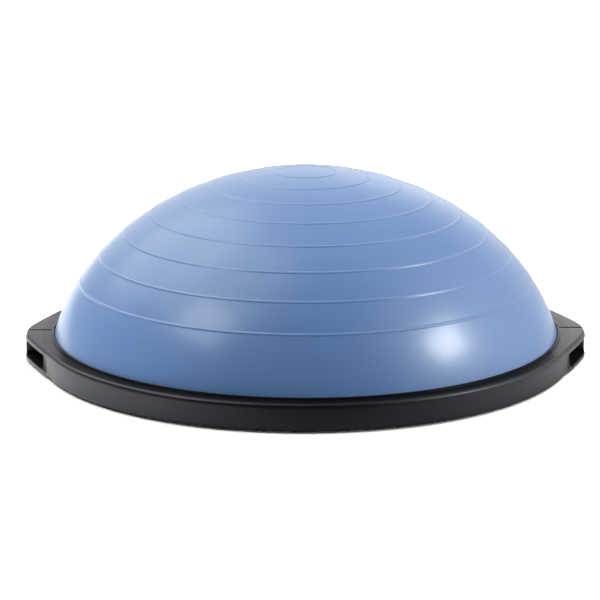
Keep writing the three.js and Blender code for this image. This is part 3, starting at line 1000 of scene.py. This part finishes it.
def build_valve_neck(material):
    """The valve's soft neck, with a flange that is bonded to the bladder's floor."""
    neck, bore, flange = 8.6 * MM, 5 * MM, seat_high.x
    flange_bottom = seat_high.z - 2 * MM
    rounding = 0.6 * MM
    line = [(bore + 0.4 * MM, seat_low.z), (neck - rounding, seat_low.z)]
    line += [(neck, seat_low.z + rounding), (neck, flange_bottom)]
    line += [(flange - 0.5 * MM, flange_bottom)]
    line += arc((flange - rounding, seat_high.z - rounding), rounding, 0, 90, 4)
    line += [(bore, seat_high.z), (bore, seat_low.z + 0.4 * MM)]
    mesh = turned("valve_neck", line, 72, closed=True)
    new_piece("valve_neck", smooth(mesh), BODY, material, ["valve_seat"])


def build_plug(material):
    """The push-in plug: a flat head with a pull tab, and a stem with three sealing barbs."""
    head, stem = plug_high.x, 4.8 * MM
    head_top = seat_low.z - 0.3 * MM
    head_low = head_top - 2.8 * MM
    core = stem - 0.5 * MM
    line = [(0, head_low + 0.25 * MM), (head - 2.4 * MM, head_low + 0.2 * MM)]
    line += [(head - 2 * MM, head_low)]
    line += arc((head - 0.9 * MM, head_low + 0.9 * MM), 0.9 * MM, -90, 0, 5)
    line += arc((head - 0.5 * MM, head_top - 0.5 * MM), 0.5 * MM, 0, 90, 3)
    line += [(core, head_top), (core, head_top + 3 * MM)]
    first, pitch = 3.5 * MM, 5 * MM
    for index in range(3):
        z = head_top + first + pitch * index
        line += [(stem, z), (stem, z + 2 * MM), (core, z + 3 * MM)]
    line += [(stem - 1.5 * MM, plug_high.z), (0, plug_high.z)]
    body = turned("plug_body", line, 72)
    long, half = 6.5 * MM, 1.5 * MM
    low, high = (-long, -half, plug_low.z), (long, half, head_low + 1 * MM)
    mesh = smooth(cut(body, box_mesh("tab", low, high, 0.6 * MM), "UNION"))
    new_piece("plug", mesh, PLUG_BODY, material, ["valve_plug"])


# ---------------------------------------------------------------- studio

CAMERA_DISTANCE = 2.801
CAMERA_HEIGHT = 0.779
CAMERA_AZIMUTH = math.radians(-1.2)
CAMERA_PITCH = math.radians(14.238)
CAMERA_AIM_LEFT = math.radians(0.142)
CAMERA_LENS = 145.3

# The softboxes on the right are seen from the bright spot on the dome.
SPOT = (0.17, -0.21, 0.09)
SPOT_SOFTBOX = (104.5, 32.5, 1.9, (0.62, 0.5))  # azimuth, elevation, distance, size
WHITE = (1, 1, 1)
FILL_COLOUR = (0.95, 1.04, 1.0)

# The white studio, as soft-edged round lights: azimuth, elevation, radius, edge and strength.
ROOM_GLOWS = (
    (-5, 10, 14, 20, 0.55),  # the lit foot of the backdrop
    (-45, 42, 14, 12, 1.7),  # window behind on the left
    (-90, 62, 15, 15, 1.4),  # overhead panel on the left
    (0, 62, 15, 20, 0.4),  # overhead panel behind
    (95, 33, 8, 40, 0.75),  # spill round the right softbox
    (75, 8, 15, 25, 0.3),  # white wall, low on the right
    (25, 12, 14, 12, 0.35),  # bright strip behind on the right
    (-72, 25, 15, 35, 0.25),  # white wall on the left
)
BACKDROP_TOWARDS = (0.4, 1, 0.35)
BACKDROP_LIGHT = 0.5
BACKDROP_SEEN = 1.05  # the backdrop as the camera sees it, just over white

# The floor as the object sees it, painted with light and shade: painted shade in front of the object,
# pale elsewhere.
FLOOR_PAINTED_DARK_AND_PALE = (0.10, 0.95)
FRONT_PAINTED_SHADE_MIDDLE = (0.03, -0.62, 0.0)  # middle of the stretch of painted shade
FRONT_REACH = (0.15, 0.42)  # distance from there over which it gets pale
FRONT_END = (-0.50, -0.80)  # along Y, where the painted shade gets dark for good, towards the camera
FLOOR_LEFT_PAINTED_LIGHT = 1.9  # painted light: the floor's colour is painted brighter on the left
FLOOR_LEFT = (-0.32, 0.0)  # along X, from the full painted light to none

# The floor as the camera sees it: overexposed to white, with a painted shadow close to the object.
FLOOR_GAIN = 3.0
FLOOR_PAINTED_SHADOW_GAIN = (0.45, 1.0)  # share of the gain close to the object, on the left and right; below 1 it paints a shadow
FLOOR_PAINTED_SHADOW_RADII = (0.335, 0.365)
FLOOR_PAINTED_SHADOW_SIDES = (-0.33, 0.33)
FLOOR_SIZE = 6.0


def build_camera():
    """The camera, in front of the object and a little above it."""
    data = bpy.data.cameras.new("camera")
    data.lens = CAMERA_LENS
    data.sensor_width = 36
    camera = bpy.data.objects.new("camera", data)
    bpy.context.scene.collection.objects.link(camera)
    turn = Matrix.Rotation(CAMERA_AZIMUTH, 4, "Z")
    place = turn @ Vector((0, -CAMERA_DISTANCE, CAMERA_HEIGHT))
    aim = turn @ Matrix.Rotation(CAMERA_AIM_LEFT, 4, "Z")
    look = aim @ Matrix.Rotation(math.pi / 2 - CAMERA_PITCH, 4, "X")
    camera.matrix_world = Matrix.Translation(place) @ look
    bpy.context.scene.camera = camera


def area_light(name, size, place, aim, power, colour, diffuse, glossy):
    """A rectangular light that the camera doesn't see."""
    data = bpy.data.lights.new(name, "AREA")
    data.shape = "RECTANGLE"
    data.size, data.size_y = size
    data.energy = power
    data.color = colour
    light = bpy.data.objects.new(name, data)
    bpy.context.scene.collection.objects.link(light)
    light.location = place
    light.rotation_mode = "QUATERNION"
    light.rotation_quaternion = (Vector(aim) - Vector(place)).to_track_quat("-Z", "Y")
    light.visible_camera = False
    light.visible_diffuse = diffuse
    light.visible_glossy = glossy


def from_direction(azimuth, elevation, distance):
    """A place round the object; azimuth 0 is behind it (+Y), 90 is to the right (+X)."""
    a, e = math.radians(azimuth), math.radians(elevation)
    flat = distance * math.cos(e)
    return (flat * math.sin(a), flat * math.cos(a), distance * math.sin(e))


def softbox(name, azimuth, elevation, distance, size, glow, aim, **options):
    """A softbox seen from the aim point in the given direction, with the given brightness.

    The options are its colour, and whether it lights surfaces (diffuse) and shows as a
    reflection (glossy).
    """
    place = Vector(aim) + Vector(from_direction(azimuth, elevation, distance))
    power = glow * math.pi * size[0] * size[1]
    settings = {"colour": WHITE, "diffuse": True, "glossy": True, **options}
    area_light(name, size, place, aim, power, **settings)


def build_lights():
    """A softbox on the right that shines more than it lights, a weak shine on the left, two fills."""
    softbox("softbox_right", *SPOT_SOFTBOX, 7.0, SPOT)
    softbox("softbox_right_shine", *SPOT_SOFTBOX, 14.5, SPOT, diffuse=False)
    softbox("softbox_left", -113, 48, 2.2, (0.9, 0.75), 3.8, (-0.12, -0.22, 0.12), diffuse=False)
    fill = {"colour": FILL_COLOUR, "glossy": False}
    softbox("fill_left", -70, 72, 2.2, (1.2, 1.2), 2.7, (-0.1, 0, 0.1), **fill)
    softbox("fill_right", 150, 6, 2.4, (1.4, 0.8), 2.2, (0.1, -0.1, 0.1), glossy=False)


class Room:
    """The light that reaches the object from each direction, as a sum of soft-edged regions."""

    def __init__(self, tree):
        self.tree = tree
        self.direction = tree.nodes.new("ShaderNodeTexCoord").outputs["Generated"]
        self.total = None

    def region(self, towards, start, full, strength):
        """Adds light that grows to its strength as direction . towards goes from start to full."""
        dot = self.tree.nodes.new("ShaderNodeVectorMath")
        dot.operation = "DOT_PRODUCT"
        self.tree.links.new(self.direction, dot.inputs[0])
        dot.inputs[1].default_value = towards
        span = self.tree.nodes.new("ShaderNodeMapRange")
        span.interpolation_type = "SMOOTHSTEP"
        self.tree.links.new(dot.outputs["Value"], span.inputs["Value"])
        for name, value in (("From Min", start), ("From Max", full), ("To Max", strength)):
            span.inputs[name].default_value = value
        if self.total is None:
            self.total = span.outputs["Result"]
            return
        add = self.tree.nodes.new("ShaderNodeMath")
        self.tree.links.new(self.total, add.inputs[0])
        self.tree.links.new(span.outputs["Result"], add.inputs[1])
        self.total = add.outputs["Value"]

    def glow(self, azimuth, elevation, radius, edge, strength):
        """A round light: full inside the radius, fading out over the edge, in degrees."""
        centre = from_direction(azimuth, elevation, 1)
        start, full = (math.cos(math.radians(v)) for v in (radius + edge, radius))
        self.region(centre, start, full, strength)


def build_world():
    """The studio: white floor and backdrop, soft lights left and right, dark on the camera's side."""
    world = bpy.data.worlds.new("studio")
    bpy.context.scene.world = world
    world.use_nodes = True
    tree = world.node_tree
    tree.nodes.clear()
    room = Room(tree)
    room.region(BACKDROP_TOWARDS, -0.35, 1.05, BACKDROP_LIGHT)
    for glow in ROOM_GLOWS:
        room.glow(*glow)
    lit = tree.nodes.new("ShaderNodeBackground")
    tree.links.new(room.total, lit.inputs["Strength"])
    seen = tree.nodes.new("ShaderNodeBackground")
    seen.inputs["Strength"].default_value = BACKDROP_SEEN
    path = tree.nodes.new("ShaderNodeLightPath")
    mix = tree.nodes.new("ShaderNodeMixShader")
    tree.links.new(path.outputs["Is Camera Ray"], mix.inputs[0])
    tree.links.new(lit.outputs[0], mix.inputs[1])
    tree.links.new(seen.outputs[0], mix.inputs[2])
    for background in (lit, seen):
        background.inputs["Color"].default_value = (1, 1, 1, 1)
    output = tree.nodes.new("ShaderNodeOutputWorld")
    tree.links.new(mix.outputs[0], output.inputs[0])


def floor_painted_light_and_shade(s):
    """How pale the floor looks to the object, painted with light and shade: dark in front of it,
    brightest on its left.
    """
    ahead = s.node("ShaderNodeVectorMath", operation="DISTANCE")
    s.feed(ahead.inputs[0], s.place)
    s.feed(ahead.inputs[1], FRONT_PAINTED_SHADE_MIDDLE)
    dark, pale = FLOOR_PAINTED_DARK_AND_PALE
    # painted shade: the floor's colour is darker in front of the object
    near = s.ramp(ahead.outputs["Value"], *FRONT_REACH, dark, pale)
    far = s.ramp(s.split(s.place, "Y"), *FRONT_END, pale, dark)
    # painted light: the floor's colour is brightest on the left
    left = s.ramp(s.split(s.place, "X"), *FLOOR_LEFT, FLOOR_LEFT_PAINTED_LIGHT, 1.0)
    return s.math("MULTIPLY", s.math("MINIMUM", near, far), left)


def floor_seen_with_painted_shadow(s):
    """How pale the floor looks to the camera: white, with a painted shadow close to the object on its
    left.
    """
    side = s.ramp(s.split(s.place, "X"), *FLOOR_PAINTED_SHADOW_SIDES, *FLOOR_PAINTED_SHADOW_GAIN)
    away = s.node("ShaderNodeVectorMath", operation="LENGTH")
    s.feed(away.inputs[0], s.place)
    # painted shadow: the floor's colour is greyer close to the object on the left
    near = s.ramp(away.outputs["Value"], *FLOOR_PAINTED_SHADOW_RADII, side, 1.0)
    return s.math("MULTIPLY", near, FLOOR_GAIN)


def build_floor():
    """A plain floor, lit so brightly that only the contact shadow is darker than white; a painted
    shadow darkens it close to the object on its left, and painted light and shade set how it looks to
    the object.
    """
    size = FLOOR_SIZE
    mesh = bpy.data.meshes.new("floor")
    corners = [(-size, -size, 0), (size, -size, 0), (size, size, 0), (-size, size, 0)]
    mesh.from_pydata(corners, [], [(0, 1, 2, 3)])
    s = Shader("floor_white")
    diffuse = s.node("ShaderNodeBsdfDiffuse")
    seen = s.node("ShaderNodeLightPath").outputs["Is Camera Ray"]
    s.feed(diffuse.inputs["Color"], s.mix(seen, s.grey(floor_painted_light_and_shade(s)), s.grey(floor_seen_with_painted_shadow(s))))
    s.tree.links.new(diffuse.outputs[0], s.tree.nodes["Material Output"].inputs[0])
    mesh.materials.append(s.material)
    floor = bpy.data.objects.new("floor", mesh)
    bpy.context.scene.collection.objects.link(floor)


# ---------------------------------------------------------------- scene

bpy.context.scene.view_settings.view_transform = "Standard"

build_camera()
build_world()
build_lights()
build_floor()
build_dome(dome_material())
build_rim(black_plastic("rim_plastic", RIM_SHADE))
build_platform(black_plastic("platform_plastic", PLATFORM_SHADE))
build_screws(steel_material())
build_feet(rubber_material())
build_valve_neck(valve_material())
build_plug(plug_material())
